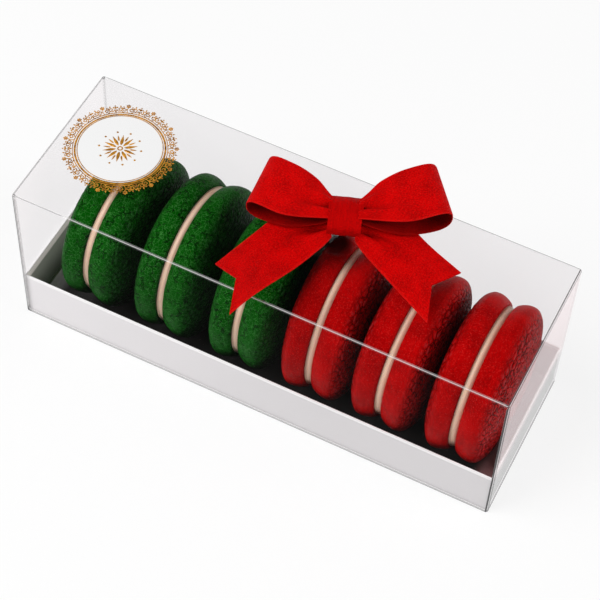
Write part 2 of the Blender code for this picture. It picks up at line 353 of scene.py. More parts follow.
def filling_finish(colour):
    """Smooth cream with faint streaks round its rim and pinker patches."""
    f = Finish("cream_filling")
    skin = f.stored("skin")
    streaks = f.cloud(f.scaled(skin, 0.05, 0.05, 3.2), 1.0, 2.0, 0.6)
    patch = f.cloud(f.scaled(skin, 0.12, 0.12, 0.4), 1.0, 1.0)
    pink = (colour[0] * 0.98, colour[1] * 0.82, colour[2] * 0.80)
    base = f.mix(f.smooth(streaks, 0.35, 0.70), opaque(colour), opaque(colour, 1.22))
    base = f.mix(f.smooth(patch, 0.45, 0.70) * 0.55, base, opaque(pink))
    return f.done(f.surface({
        "Base Color": base,
        "Roughness": 0.42 + streaks * 0.16,
        "Subsurface Weight": 0.12,
        "Subsurface Radius": (0.6 * MM, 0.3 * MM, 0.15 * MM),
        "Subsurface Scale": 1.0,
        "Normal": f.bump(streaks * 0.09, 0.8),
    }))


def ribbon_finish(name, colour, shade, silky):
    """Woven ribbon: fine crossing threads, brighter specks and a pale edge thread, with painted shade
    inside the loops and in the pleats' creases.

    silky is how strongly lines along the ribbon show in place of the specks.
    """
    f = Finish(name)
    weave = f.stored("weave")
    # inside is the share of painted shade that the mesh stores.
    along, across, inside = f.split(weave)
    warp = f.maths("SINE", along * 15.7 + across * 3.0)
    weft = f.maths("SINE", across * 18.0)
    threads = warp * weft
    slub = f.cloud(f.scaled(weave, 1.5, 2.6, 1.0), 1.0, 2.0, 0.7)
    silk = f.cloud(f.scaled(weave, 0.10, 0.8, 1.0), 1.0, 2.0, 0.5)
    patch = f.cloud(weave, 0.16, 2.0)
    speck = f.smooth(f.cloud(weave, 2.3, 1.0, 0.6), 0.56, 0.70) * (1 - silky)
    edge = f.smooth(abs(across), 8.6, 9.1)
    tone = (slub * 0.7 + patch * 0.3) * (1 - silky) + (silk * 0.4 + slub * 0.6) * silky
    base = f.mix(f.smooth(tone, 0.36, 0.60), opaque(shade), opaque(colour))
    bright = (min(colour[0] * 1.35, 1.0), 0.022, 0.016)
    base = f.mix(speck * 0.35 + edge * 0.15, base, opaque(bright))
    # Painted shade: darker inside the loops and in the pleats' creases.
    base = f.mix(inside * 0.64, base, opaque(shade, 0.2))
    return f.done(f.surface({
        "Base Color": base,
        "Roughness": 0.58 + slub * 0.25,
        "Specular IOR Level": 0.12,
        "Specular Tint": (1.0, 0.15, 0.12, 1.0),
        "Normal": f.bump(threads * 0.030 + slub * (0.12 - silky * 0.08) + silk * silky * 0.10),
    }))


def gold_finish(colour):
    """Foil print with small tarnished and bright places."""
    f = Finish("gold_print")
    place = f.place_mm()
    tone = f.cloud(place, 0.7, 3.0, 0.6)
    dark = (colour[0] * 0.40, colour[1] * 0.33, colour[2] * 0.25)
    base = f.mix(f.smooth(tone, 0.30, 0.66), opaque(dark), opaque(colour))
    return f.done(f.surface({
        "Base Color": base,
        "Metallic": 0.35,
        "Roughness": 0.26 + tone * 0.25,
        "Normal": f.bump(f.cloud(place, 3.0) * 0.03, 0.6),
    }))


def label_finish(colour):
    """Satin white label stock with a faint tooth."""
    f = Finish("label_stock")
    place = f.place_mm()
    tooth = f.cloud(place, 2.2, 3.0, 0.6)
    base = f.mix(tooth, opaque(colour, 0.97), opaque(colour))
    return f.done(f.surface({
        "Base Color": base,
        "Roughness": 0.38 + tooth * 0.15,
        "Normal": f.bump(tooth * 0.02, 0.5),
    }))


def card_finish(colour):
    """White card: pale outside, painted darker towards the right, with a painted highlight on its rim and
    painted shade on its inside.

    The left wall's inside also glows a little and has a lit strip at its top: painted light on that shaded
    wall.
    """
    shade = (0.022, 0.021, 0.020, 1.0)
    mirrored_red = (0.60, 0.26, 0.26, 1.0)
    rim_highlight = (0.97, 0.965, 0.96, 1.0)
    shaded_far_end = (0.46, 0.47, 0.465, 1.0)
    f = Finish("white_card_stock")
    place = f.place_mm()
    x, y, z = f.split(place)
    fibre = f.cloud(place, 1.4, 4.0, 0.65)
    cloud = f.cloud(place, 0.06, 1.0)
    inside = f.smooth(TRAY_HALF.x / MM - abs(x), 0.25, 0.6)
    inside = inside * f.smooth(TRAY_HALF.y / MM - abs(y), 0.25, 0.6)
    depth = TRAY_TOP / MM - z
    # Painted shade inside the tray, deepening below the rim, except at its two ends.
    deep = inside * f.smooth(depth, 0.6, 9.0) * f.smooth(x, -83.5, -76.0) * f.fall(x, 76.0, 80.0)
    # Painted reflection of the red macarons, pink on the inside of the tray's right end.
    pink = inside * f.smooth(x, 74.0, 79.0) * f.smooth(depth, 0.2, 2.0)
    # Painted highlight along the card's top edge.
    rim = f.fall(depth, 1.05, 1.25)
    # Inside of the left wall: painted light, a pale lit strip along its top and a faint glow, with painted
    # shade that darkens it, greenish, towards its foot.
    end_wall = inside * f.fall(x, -83.2, -82.6)
    end_shade = f.smooth(depth, 2.0, 18.0)
    end_strip = end_wall * f.fall(depth, 2.4, 3.4)
    glow = f.mix(end_shade, (0.11, 0.115, 0.098, 1.0), (0.004, 0.007, 0.003, 1.0))
    glow = f.mix(end_strip, glow, (0.60, 0.55, 0.52, 1.0))
    wall = f.mix(end_shade, (0.46, 0.47, 0.41, 1.0), (0.045, 0.070, 0.030, 1.0))
    wall = f.mix(end_strip, wall, (0.85, 0.80, 0.78, 1.0))
    base = f.mix(fibre * 0.5 + cloud * 0.5, opaque(colour, 0.95), opaque(colour))
    # Painted shade: the card grows darker towards the right.
    base = f.mix(f.smooth(x, -88.0, 30.0) * 0.62, base, opaque(colour, 0.78))
    # Painted shade on the outside of the tray's right end.
    base = f.mix(f.smooth(x, 83.9, 84.1), base, shaded_far_end)
    base = f.mix(deep, base, shade)
    base = f.mix(pink * 0.9, base, mirrored_red)
    base = f.mix(rim, base, rim_highlight)
    base = f.mix(end_wall, base, wall)
    return f.done(f.surface({
        "Base Color": base,
        # Emission: the painted glow of the left wall's inside.
        "Emission Color": f.mix(end_wall, (0, 0, 0, 1.0), glow),
        "Emission Strength": 1.0,
        "Roughness": 0.5 + fibre * 0.15,
        "Specular IOR Level": 0.35,
        "Normal": f.bump(fibre * 0.04, 0.6),
    }))


def film_folds(f, x, y, end, front, top):
    """Shares of a pale core and of dark lines along the film's folds: a painted highlight and painted dark
    lines of the rounded fold.

    end, front and top are the distances in millimetres from those faces of the cover. The fold
    on top of the front is pale where macarons lie behind it and dark on its bare left stretch.
    """
    farther = f.maths("MAXIMUM", end, front)
    way = f.maths("MAXIMUM", f.maths("MINIMUM", end, front), f.maths("MINIMUM", farther, top))
    on_top = f.fall(top, 1.2, 1.8)
    upright = f.smooth(top, 1.0, 2.0) * f.fall(y, 0.0, 10.0)
    bare_stretch = f.fall(x, -67.4, -65.4)
    below = f.fall(front, 0.5, 0.9) * on_top * f.smooth(end, 1.2, 2.4)
    behind = f.smooth(y, 20.0, 27.0) * on_top * f.smooth(end, 1.2, 2.4)
    bare = bare_stretch * on_top * f.smooth(end, 1.0, 2.0)
    wide = upright * 0.22
    core = f.fall(way, 0.34, 0.44) * (1 - behind)
    line = f.smooth(way, 0.38, 0.48) * f.fall(way, 0.66 + wide, 0.80 + wide) * (1 - below * 0.9)
    line = line * (1 - bare * 0.6) + core * bare
    core = core * (1 - bare) * (1 - upright * bare_stretch * 0.8)
    second = f.smooth(farther, 1.40, 1.53) * f.fall(farther, 1.66, 1.80) * upright * bare_stretch
    back_line = behind * f.fall(front, 0.62, 0.80) * f.fall(top, 0.50, 0.70)
    return core, f.maths("MAXIMUM", line, f.maths("MAXIMUM", second * 0.6, back_line))


def film_finish(haze, fold_strength):
    """Clear film that shows mostly at its folds, as painted highlights and dark lines, and at a low angle,
    as a painted whitish reflection.

    A soft dark patch under the front of the knot stands for the knot's shadow.
    """
    tint = (0.95, 0.93, 0.935, 1.0)
    mirrored_pink = (0.92, 0.74, 0.755, 1.0)
    back_grey = (0.50, 0.49, 0.50, 1.0)
    dark = (0.03, 0.03, 0.033, 1.0)
    shadow_red = (0.004, 0.001, 0.001, 1.0)
    shadow_middle = (BOW_CENTRE.x / MM + 0.4, BOW_CENTRE.y / MM - 6.0, COVER_TOP / MM)
    f = Finish("clear_film")
    place = f.place_mm()
    x, y, z = f.split(place)
    end = COVER_LENGTH / 2 / MM - abs(x)
    front = COVER_DEPTH / 2 / MM - abs(y)
    top = COVER_TOP / MM - z
    core, line = film_folds(f, x, y, end, front, top)
    back_corner = f.fall(f.maths("MAXIMUM", end, front), 0.8, 1.0) * f.smooth(top, 1.0, 2.0)
    back_corner = back_corner * f.smooth(y, 0.0, 10.0)
    on_end = f.fall(end, 0.5, 0.9)
    on_front = f.fall(front, 0.5, 0.9)
    on_back = f.smooth(y, 28.2, 28.6)
    above_tray = f.smooth(z, 18.6, 19.6)
    # Dark line along the film's foot: painted shade where it meets the floor.
    foot = f.fall(z, 0.30, 0.6)
    veil = f.cloud(place, 0.035, 2.0) * 0.5 + 0.75
    # Painted reflection: the film turns whiter at a low angle, most over the right half above the tray.
    glance = f.maths("POWER", f.node("ShaderNodeLayerWeight", None, {"Blend": 0.5}, output=1), 10.0)
    glancing = 0.2 + f.smooth(x, -10.0, 10.0) * (0.16 + above_tray * 0.84) * 0.95
    body = veil * ((1 + on_front * 1.5) * haze + on_end * 0.05) + glance * glancing + on_back * 0.085
    to_shadow = f.node("ShaderNodeVectorMath", {"operation": "DISTANCE"}, {0: place, 1: shadow_middle}, 1)
    # Painted light along the folds: the pale core as a highlight, and the dark lines.
    folds = (core * 0.75 + line * 0.95 + foot * 0.9) * ((1 - back_corner * 0.85) * fold_strength)
    share = f.maths("MINIMUM", body + folds + f.fall(to_shadow, 2.0, 6.0) * 0.80, 0.92)
    # Painted reflection, pink on the end panels above the tray.
    colour = f.mix(on_end * (1 - core) * above_tray, tint, mirrored_pink)
    colour = f.mix(on_back * (1 - core), colour, back_grey)
    # Painted dark lines along the folds and the foot.
    colour = f.mix(line + foot * 0.6, colour, dark)
    colour = f.mix(f.fall(to_shadow, 6.2, 6.6), colour, shadow_red)
    shine = f.surface({
        "Base Color": colour,
        "Roughness": 0.10,
        "Specular IOR Level": 0.6,
        "Normal": f.bump(f.cloud(place, 0.03, 1.0) * 0.10, 0.3),
    })
    clear = f.node("ShaderNodeBsdfTransparent", None, {"Color": (0.988, 0.984, 0.986, 1.0)})
    return f.done(f.node("ShaderNodeMixShader", None, {0: share, 1: clear, 2: shine}))


def floor_finish(colour, glow):
    """A pale floor lit from below, so that shadows on it stay faint."""
    f = Finish("pale_floor")
    place = f.place_mm()
    cloud = f.cloud(place, 0.004, 1.0)
    base = f.mix(cloud, opaque(colour, 0.995), opaque(colour))
    return f.done(f.surface({
        "Base Color": base,
        "Roughness": 0.7,
        "Specular IOR Level": 0.1,
        "Emission Color": f.mix(cloud, opaque([glow] * 3, 0.995), opaque([glow] * 3)),
        "Emission Strength": 1.0,
    }))


def add_object(name, data):
    """A new object in the scene."""
    thing = bpy.data.objects.new(name, data)
    bpy.context.collection.objects.link(thing)
    return thing


def add_piece(name, mesh, material, slot, *nodes):
    """Show a mesh in place of the named solids."""
    mesh.materials.append(material)
    piece = add_object(name, mesh)
    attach(piece, "root")
    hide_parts(*nodes)
    return piece


def finish_solid(node, material):
    """Give a solid that stays as it is its final material."""
    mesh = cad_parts[node].data
    mesh.materials.clear()
    mesh.materials.append(material)


def smooth_mesh(name, points, faces, stored=None, sharp_degrees=None):
    """A smooth-shaded mesh with its normals outward and an optional stored vector."""
    mesh = bpy.data.meshes.new(name)
    mesh.from_pydata([tuple(p) for p in points], [], faces)
    if stored is not None:
        layer = mesh.attributes.new(stored[0], "FLOAT_VECTOR", "POINT")
        layer.data.foreach_set("vector", np.asarray(stored[1], np.float32).ravel())
    bm = bmesh.new()
    bm.from_mesh(mesh)
    bmesh.ops.recalc_face_normals(bm, faces=bm.faces)
    bm.to_mesh(mesh)
    bm.free()
    mesh.shade_smooth()
    if sharp_degrees is not None:
        mesh.set_sharp_from_angle(angle=math.radians(sharp_degrees))
    return mesh


def stacked(*parts):
    """Points or vectors from their coordinates, of which some may be a single row or column."""
    return np.stack(np.broadcast_arrays(*parts), axis=-1)


def ways_along(line):
    """The way from a line's first point to each of its points."""
    return np.concatenate([[0], np.cumsum(np.linalg.norm(np.diff(line, axis=0), axis=1))])


def turned(x, y, angle):
    """A place after a turn about Z."""
    cos, sin = math.cos(angle), math.sin(angle)
    return x * cos - y * sin, x * sin + y * cos


def grid_faces(first, rows, columns, closed=False, looped=False):
    """Quads between the points of a grid.

    Each row may close into a ring, and the last row may join the first.
    """
    faces = []
    for row in range(rows if looped else rows - 1):
        low = first + row * columns
        high = first + (row + 1) % rows * columns
        for step in range(columns if closed else columns - 1):
            following = (step + 1) % columns
            faces.append((low + step, low + following, high + following, high + step))
    return faces


def even_points(outline, spacing):
    """Points along an outline at a spacing that depends on the radius."""
    outline = np.array(outline)
    ways = ways_along(outline)
    chosen = [0.0]
    while chosen[-1] < ways[-1]:
        radius = np.interp(chosen[-1], ways, outline[:, 1])
        chosen.append(chosen[-1] + spacing(radius))
    chosen[-1] = ways[-1]
    if chosen[-1] - chosen[-2] < 0.1 * MM:
        chosen.pop(-2)
    return stacked(*(np.interp(chosen, ways, column) for column in outline.T))


def shell_outline():
    """Half outline of a shell, from the middle of its flat face to the top of its dome."""
    belly = SHELL_RADIUS - SHELL_INNER_RADIUS
    dome = SHELL_THICKNESS - SHELL_BELLY
    outline = [(0, 0), (0.0, SHELL_INNER_RADIUS - 0.2 * MM)]
    for step in range(1, 25):
        along = SHELL_BELLY * step / 24
        drop = ((SHELL_BELLY - along) / SHELL_BELLY) ** 2
        outline.append((along, SHELL_RADIUS - belly * drop))
    for step in range(1, 241):
        angle = math.pi / 2 * step / 240
        rise = math.sin(angle) ** (2 / SHELL_ROUNDNESS)
        reach = max(math.cos(angle), 0) ** (2 / SHELL_ROUNDNESS)
        outline.append((SHELL_BELLY + dome * rise, SHELL_RADIUS * reach))
    return outline


def turned_points(outline, segments):
    """Points, outward directions and skin places of an outline turned about X.

    A skin place is two millimetre coordinates round the rim and the way along the outline.
    """
    angles = np.linspace(0, 2 * math.pi, segments, endpoint=False)
    cos, sin = np.cos(angles), np.sin(angles)
    along, radius = outline[1:-1].T
    slope_along, slope_radius = np.gradient(outline, axis=0)[1:-1].T
    length = np.hypot(slope_along, slope_radius)
    out_along, out_radius = -slope_radius / length, slope_along / length
    rim = SHELL_RADIUS / MM
    points = stacked(along[:, None], np.outer(radius, cos), np.outer(radius, sin))
    outward = stacked(out_along[:, None], np.outer(out_radius, cos), np.outer(out_radius, sin))
    skin = stacked(rim * cos, rim * sin, ways_along(outline)[1:-1, None] / MM)
    return points, outward, skin


def turned_mesh(name, outline, segments, relief, move):
    """A closed turned mesh. relief gives each point's rise and move places the whole."""
    points, outward, skin = turned_points(outline, segments)
    rises = relief(points, skin)
    points += outward * rises[..., None]
    rings = len(points)
    poles = np.array([[outline[0, 0], 0, 0], [outline[-1, 0], 0, 0]])
    flat = move(np.concatenate([poles, points.reshape(-1, 3)]))
    last_way = skin[-1, 0, 2] + 1
    stored = np.concatenate([[[0, 0, 0], [0, 0, last_way]], skin.reshape(-1, 3)])
    faces = grid_faces(2, rings, segments, closed=True)
    end = 2 + (rings - 1) * segments
    for step in range(segments):
        following = (step + 1) % segments
        faces.append((0, 2 + following, 2 + step))
        faces.append((1, end + step, end + following))
    return smooth_mesh(name, flat, faces, ("skin", stored))


def bake_unevenly(points, seed):
    """The solids' own unevenness: a slightly wavy rim and a dome that leans."""
    draw = random.Random(seed)
    waves = []
    for count in (2, 3, 4):
        waves.append((count, draw.uniform(0.4, 1.0) / (count - 1), draw.uniform(0, 2 * math.pi)))
    slope = draw.uniform(-0.25, 0.25) * MM
    radius = np.hypot(points[:, 1], points[:, 2])
    angle = np.arctan2(points[:, 2], points[:, 1])
    wave = sum(size * np.cos(count * angle + phase) for count, size, phase in waves)
    grow = 1 + SHELL_WOBBLE * wave / SHELL_RADIUS
    edge = radius / SHELL_RADIUS
    lean = points[:, 0] / SHELL_THICKNESS * edge * (1 - edge) * slope * 4 * np.cos(angle + waves[0][2])
    return stacked(points[:, 0] + lean, points[:, 1] * grow, points[:, 2] * grow)


def skin_relief(settings, colour, seed):
    """How far each point of a shell rises: lumps, cells and creases."""
    cells = settings.crackle * (1.0 if colour == "green" else 0.35)
    creases = settings.wrinkle * (0.45 if colour == "green" else 1.0)
    shift = Vector((seed * 3.7, seed * 5.1, seed * 1.9))
    rim_start, dome_start = 24.4, 32.0

    def relief(points, skin):
        rises = np.zeros(points.shape[:2])
        for ring in range(points.shape[0]):
            way = skin[ring, 0, 2]
            if way < rim_start:
                continue
            fade = min((way - rim_start) / 1.5, 1)
            dome = min(max((way - dome_start) / 4.0, 0), 1)
            for step in range(points.shape[1]):
                place = Vector(points[ring, step]) / MM
                rise = settings.lump * noise.noise(place / 8.5 + shift)
                near, far = noise.voronoi(place / 2.3 + shift)[0][:2]
                rise += cells * (min((far - near) / 0.35, 1) - 0.7)
                around = skin[ring, step]
                fold = noise.noise(Vector((around[0] / 4.6, around[1] / 4.6, way / 1.15)) + shift)
                rise += creases * (0.12 + 0.88 * dome) * (min(abs(fold) / 0.32, 1) - 0.6)
                rises[ring, step] = rise * fade
        return rises

    return relief


def macaron_move(along, turn, side=1, seed=None):
    """A function that moves points of a turned shell or filling to its macaron's place."""

    def move(points):
        if seed is not None:
            points = bake_unevenly(points, seed)
            points[:, 0] = side * (points[:, 0] + FILLING_SPACE / 2)
        x, y = turned(points[:, 0], points[:, 1], math.radians(turn))
        return stacked(x + along, y + ROW_SHIFT, points[:, 2] + ROW_HEIGHT)

    return move


def filling_outline(swell):
    """Half outline of a filling that is a little fuller than its solid."""
    half = FILLING_THICKNESS / 2 + swell
    radius = FILLING_RADIUS + 2 * swell
    outline = [(-half, 0), (-half, radius - FILLING_ROUNDING)]
    for step in range(1, 9):
        angle = math.pi / 2 * step / 8
        inward, short = FILLING_ROUNDING * (1 - math.cos(angle)), FILLING_ROUNDING * (1 - math.sin(angle))
        outline.append((-half + inward, radius - short))
    return outline + [(-along, radius) for along, radius in reversed(outline)]


def filling_relief(seed):
    """Slow waves and thin ridges round the filling's rim."""

    def relief(points, skin):
        rises = np.zeros(points.shape[:2])
        for ring in range(points.shape[0]):
            if points[ring, 0, 1] < FILLING_RADIUS - 0.6 * MM:
                continue
            for step in range(points.shape[1]):
                around = skin[ring, step]
                slow = noise.noise(Vector((around[0] / 7, around[1] / 7, seed * 2.3)))
                ridge = noise.noise(Vector((around[0] / 12, around[1] / 12, around[2] / 0.42 + seed)))
                rises[ring, step] = 0.07 * MM * slow + 0.05 * MM * ridge
        return rises

    return relief


def ease(value):
    """A smooth step from 0 to 1, for numbers and arrays."""
    value = np.clip(value, 0, 1)
    return value * value * (3 - 2 * value)


def bell(value, width):
    """A smooth hump: 1 at 0, dying away on both sides over the width."""
    return np.exp(-((value / width) ** 2))


def loop_points(side, reach, lift_degrees, rise, back_rise, pleat, along, across):
    """A bow loop's middle surface and the painted shade in its pleats' creases.

    It leaves the knot low, turns over and comes back on top.
    """
    lift = math.radians(lift_degrees)
    low = 2.3 * MM
    turn = 2 * math.pi * along
    out = (1 - np.cos(turn)) / 2
    upper = -np.sin(turn)
    opening = np.sin(math.pi / 2 * np.minimum(1, 1.6 * out))
    half = RIBBON_WIDTH / 2 * (0.44 + 0.56 * opening)
    away = out * reach
    step = across * half - (0.8 + 0.8 * upper) * MM * np.sin(math.pi * out)
    x = KNOT_WIDTH / 2 - TUCK + away * math.cos(lift) - step * math.sin(lift) * ease(out * 3)
    y = 1.6 * MM + away * math.sin(lift) + step * math.cos(lift)
    tilt = back_rise * out * (1 + across) / 4
    swell = (0.24 + 0.76 * out ** 0.8) * np.where(upper > 0, 1.10, 1.30) * rise / 2
    rounded = np.sign(upper) * np.abs(upper) ** 0.8
    z = low + rise / 2 + swell * rounded + tilt * (1 + np.maximum(upper, 0))
    fade = bell(away, 8.0 * MM) * ease((away + TUCK) / (2.0 * MM))
    folds = bell(across, 0.20) - 0.5 * bell(across - 0.45, 0.16) - 0.6 * bell(across + 0.45, 0.16)
    creases = folds * (upper > 0) * bell(away, 4.5 * MM)
    wide = 0.35 * np.sin(2.6 * across + 5 * out) * out * (1 - out) * 4
    z = z - pleat * (fade * folds + 0.45 * wide) * np.sign(upper) * np.abs(upper) ** 0.3
    return stacked(side * x, y, z), np.clip(creases, 0, 1)


def tail_points(side, direction_degrees, inner_edge, length, skew, curls, pleat, along, across):
    """A ribbon end's middle surface and the painted shade in its pleats' creases.

    It leaves the knot's side and lies down on the cover.
    """
    start = 6.0 * MM
    free = 9.0 * MM
    tip = length - NOTCH * (1 - np.abs(across)) - skew * across
    away = start + along * (tip - start)
    beside = inner_edge + (across + 1) / 2 * RIBBON_WIDTH
    x, y = turned(away, beside, -math.radians(direction_degrees))
    loose = ease((away - start) / free)
    x = (KNOT_WIDTH / 2 - TUCK) * (1 - loose) + x * loose
    y = (2.9 * across - 3.6) * MM * (1 - loose) + y * loose
    curl = curls[0] + (curls[1] - curls[0]) * (across + 1) / 2
    raised = curl * ease((away - 16 * MM) / (30 * MM))
    gather = (1 - ease((away - start) / (0.8 * free))) * (2.5 + 0.4 * across) * MM
    z = 0.75 * MM + raised + gather
    fade = bell(away - start, 10 * MM)
    folds = bell(across - 0.05, 0.18) - 0.9 * bell(across + 0.42, 0.22) - 0.6 * bell(across - 0.50, 0.20)
    z = z - pleat * 0.8 * fade * folds
    return stacked(side * x, y, np.maximum(z, 0.62 * MM)), np.clip(fade * folds, 0, 1)


def bow_place(points):
    """From the bow's own frame to the object's."""
    x, y = turned(points[..., 0], points[..., 1], BOW_TURN)
    return stacked(x + BOW_CENTRE.x, y + BOW_CENTRE.y, points[..., 2] + COVER_TOP)


def ribbon_grid(steps):
    """The way along a piece of ribbon, from 0 to 1, and across it, from -1 to 1."""
    return np.meshgrid(np.linspace(0, 1, steps), np.linspace(-1, 1, ACROSS_STEPS), indexing="ij")


def strip_mesh(name, middle, creases, thickness, looped):
    """A ribbon of some thickness round a grid of middle points.

    The third number of its stored weave is the share of painted shade: 1 on the inside of a loop and
    growing in a crease.
    """
    along_steps, across_steps = middle.shape[:2]
    normal = np.cross(np.gradient(middle, axis=0), np.gradient(middle, axis=1))
    normal /= np.maximum(np.linalg.norm(normal, axis=-1, keepdims=True), 1e-12)
    spread = np.linspace(-1, 1, across_steps)
    taper = np.where(np.abs(spread) > 0.999, 0.55, 1.0)[None, :, None]
    half = normal * thickness / 2 * taper
    ways = ways_along(middle[:, across_steps // 2])
    inward = (normal * (middle.mean(axis=0) - middle)).sum(axis=-1) > 0
    places = (ways[:, None] / MM, spread * RIBBON_WIDTH / 2 / MM)
    weave = stacked(*places, np.maximum(creases, looped * inward))
    under_weave = stacked(*places, np.maximum(creases, looped * ~inward))
    points = np.concatenate([middle + half, middle - half]).reshape(-1, 3)
    stored = np.concatenate([weave, under_weave]).reshape(-1, 3)
    under = along_steps * across_steps
    faces = grid_faces(0, along_steps, across_steps)
    faces += [tuple(under + corner for corner in reversed(quad)) for quad in faces]
    grid = np.arange(under).reshape(along_steps, across_steps)
    rim = np.concatenate([grid[0], grid[1:, -1], grid[-1, -2::-1], grid[-2:0:-1, 0]]).tolist()
    for a, b in zip(rim, rim[1:] + rim[:1]):
        faces.append((b, a, under + a, under + b))
    return smooth_mesh(name, points, faces, ("weave", stored), sharp_degrees=60)


def knot_mesh(overlap):
    """The band round the middle of the bow: rounded, with wrapped lines and raised edges."""
    bm = bmesh.new()
    width = KNOT_WIDTH + 2 * overlap
    size = Matrix.Diagonal((width, KNOT_LENGTH, KNOT_TOP - KNOT_BOTTOM, 1))
    middle = (KNOT_BOTTOM + KNOT_TOP) / 2
    bmesh.ops.create_cube(bm, size=1, matrix=Matrix.Translation((0, 0, middle)) @ size)
    bmesh.ops.subdivide_edges(bm, edges=bm.edges, cuts=KNOT_CUTS, use_grid_fill=True)
    half_height = (KNOT_TOP - KNOT_BOTTOM) / 2
    weave = []
    for vert in bm.verts:
        across = vert.co.x / (width / 2)
        back = vert.co.y / (KNOT_LENGTH / 2)
        up = (vert.co.z - middle) / half_height
        weave.append((math.atan2(up, back) * 8.0, across * 8.8, 0))
        inner = max(abs(back), abs(up))
        if abs(across) > 0.999:
            vert.co.x *= 1 - 0.16 * min((1 - inner) / 0.12, 1)
        vert.co.x *= 0.97 + 0.02 * back - 0.02 * up + 0.02 * (1 - back * back)
        vert.co.y *= 1 - 0.22 * abs(up) ** 3
        crown = 0.34 * abs(back) ** 3 + 0.05 * across * across
        lines = noise.noise(Vector((across * 2.2, back * 0.5, 3.0))) * 0.06
        lines += noise.noise(Vector((across * 9.0, back * 0.8, 8.0))) * 0.008
        lip = 0.035 * bell(abs(across) - 0.94, 0.05)
        vert.co.z = middle + half_height * up * (1 - crown + (lines + lip if up > 0 else 0))
        vert.co.y += KNOT_BACK + (lines * 4 * MM if back < 0 else 0)
    points = bow_place(np.array([vert.co for vert in bm.verts]))
    faces = [tuple(vert.index for vert in face.verts) for face in bm.faces]
    bm.free()
    return smooth_mesh("ribbon_knot", points, faces, ("weave", weave), sharp_degrees=60)


class Print:
    """Raised strokes on the label, each a closed low ridge."""

    def __init__(self, height):
        self.height = height
        self.points = []
        self.faces = []
        self.draw = random.Random(5)

    def stroke(self, line, widths, closed=False, base=LABEL_BOTTOM):
        """A ridge along a line of (x, y) points in millimetres round the label's centre."""
        widths = np.broadcast_to(widths, len(line))
        if closed:
            ahead = np.roll(line, -1, axis=0) - np.roll(line, 1, axis=0)
        else:
            ahead = np.gradient(line, axis=0)
        ahead /= np.maximum(np.hypot(ahead[:, 0], ahead[:, 1]), 1e-9)[:, None]
        side = stacked(-ahead[:, 1], ahead[:, 0])
        first = len(self.points)
        height = self.height * self.draw.uniform(0.85, 1.1)
        lift = self.draw.uniform(0, 0.015) * MM
        for place, normal, width in zip(line, side, widths):
            for reach, share in ((-0.5, 0), (-0.28, 1), (0.28, 1), (0.5, 0)):
                x, y = place + normal * reach * max(width, 0.05)
                z = base + lift + height * share * min(width / 0.3, 1)
                self.points.append((LABEL_CENTRE.x + x * MM, LABEL_CENTRE.y + y * MM, z))
        self.faces += grid_faces(first, len(line), 4, closed=True, looped=closed)
        if not closed:
            last = len(self.points) - 4
            self.faces.append(tuple(first + corner for corner in (3, 2, 1, 0)))
            self.faces.append(tuple(last + corner for corner in range(4)))

    def ring(self, radius, width, centre=(0, 0), steps=160, base=LABEL_BOTTOM):
        line = polar(radius, np.linspace(0, 360, steps, endpoint=False)) + centre
        self.stroke(line, width, closed=True, base=base)


def polar(radius, degrees):
    """Points at a radius and an angle round the label's centre."""
    angle = np.radians(degrees)
    return stacked(radius * np.cos(angle), radius * np.sin(angle))


def motif_line(middle, across, radius):
    """Points from the way across a motif, in millimetres, and the radius they lie at."""
    return polar(radius, middle + np.degrees(across / radius))


def spiral(middle, across, radius, size, turns, way, start):
    """A curl whose centre lies at the given place and which winds inward."""
    t = np.linspace(0, 1, 26)
    angle = start + way * 2 * math.pi * turns * t
    reach = size * (1 - 0.80 * t)
    return motif_line(middle, across + reach * np.cos(angle), radius + reach * np.sin(angle))


def leaf(gold, middle, across, radius, lean, length, width, base=LABEL_BOTTOM):
    """A drop-shaped leaf that points outward, leaning by some degrees."""
    t = np.linspace(0, 1, 12)
    x = across + length * t * math.sin(math.radians(lean))
    y = radius + length * t * math.cos(math.radians(lean))
    gold.stroke(motif_line(middle, x, y), 0.08 + width * np.sin(math.pi * t ** 0.7) ** 1.3, base=base)


def floret(gold, middle, radius, size):
    """A small flower of six petals in the border."""
    centre = polar(radius, middle)
    t = np.linspace(0, 1, 6)
    for petal in range(6):
        line = centre + polar(size * (0.25 + 0.75 * t), middle + 60 * petal)
        gold.stroke(line, 0.08 + 0.55 * size * np.sin(math.pi * t ** 0.8))
    gold.ring(size * 0.12, size * 0.22, centre=centre, steps=8)


def border_motif(gold, middle, pitch):
    """One repeat of the border: a floret on a stem between curls, with small leaves."""
    half = math.radians(pitch / 2) * BORDER_RADIUS
    t = np.linspace(0, 1, 12)
    gold.stroke(motif_line(middle, 0.25 * np.sin(t * math.pi), 15.3 + 2.1 * t), 0.26)
    floret(gold, middle, 18.05, 0.85)
    for way in (-1, 1):
        start = math.pi * (0.5 - way * 0.5)
        gold.stroke(spiral(middle, way * half * 0.30, 16.35, 0.92, 1.35, way, -math.pi / 2), 0.30)
        gold.stroke(spiral(middle, way * half * 0.68, 16.75, 0.98, 1.30, -way, start), 0.32)
        gold.stroke(spiral(middle, way * half * 0.40, 17.55, 0.52, 1.10, -way, start), 0.24)
        leaf(gold, middle, way * half * 0.62, 17.55, way * 20, 0.95, 0.42)
        leaf(gold, middle, way * half * 0.86, 17.25, way * 38, 0.90, 0.40)
        leaf(gold, middle, way * half * 0.10, 16.60, way * 62, 0.70, 0.34)
    far = middle + pitch / 2
    leaf(gold, far, 0, 15.4, 0, 1.5, 0.50)
    gold.ring(0.22, 0.40, centre=polar(17.45, far), steps=12)
    gold.ring(0.13, 0.24, centre=polar(18.25, far), steps=10)


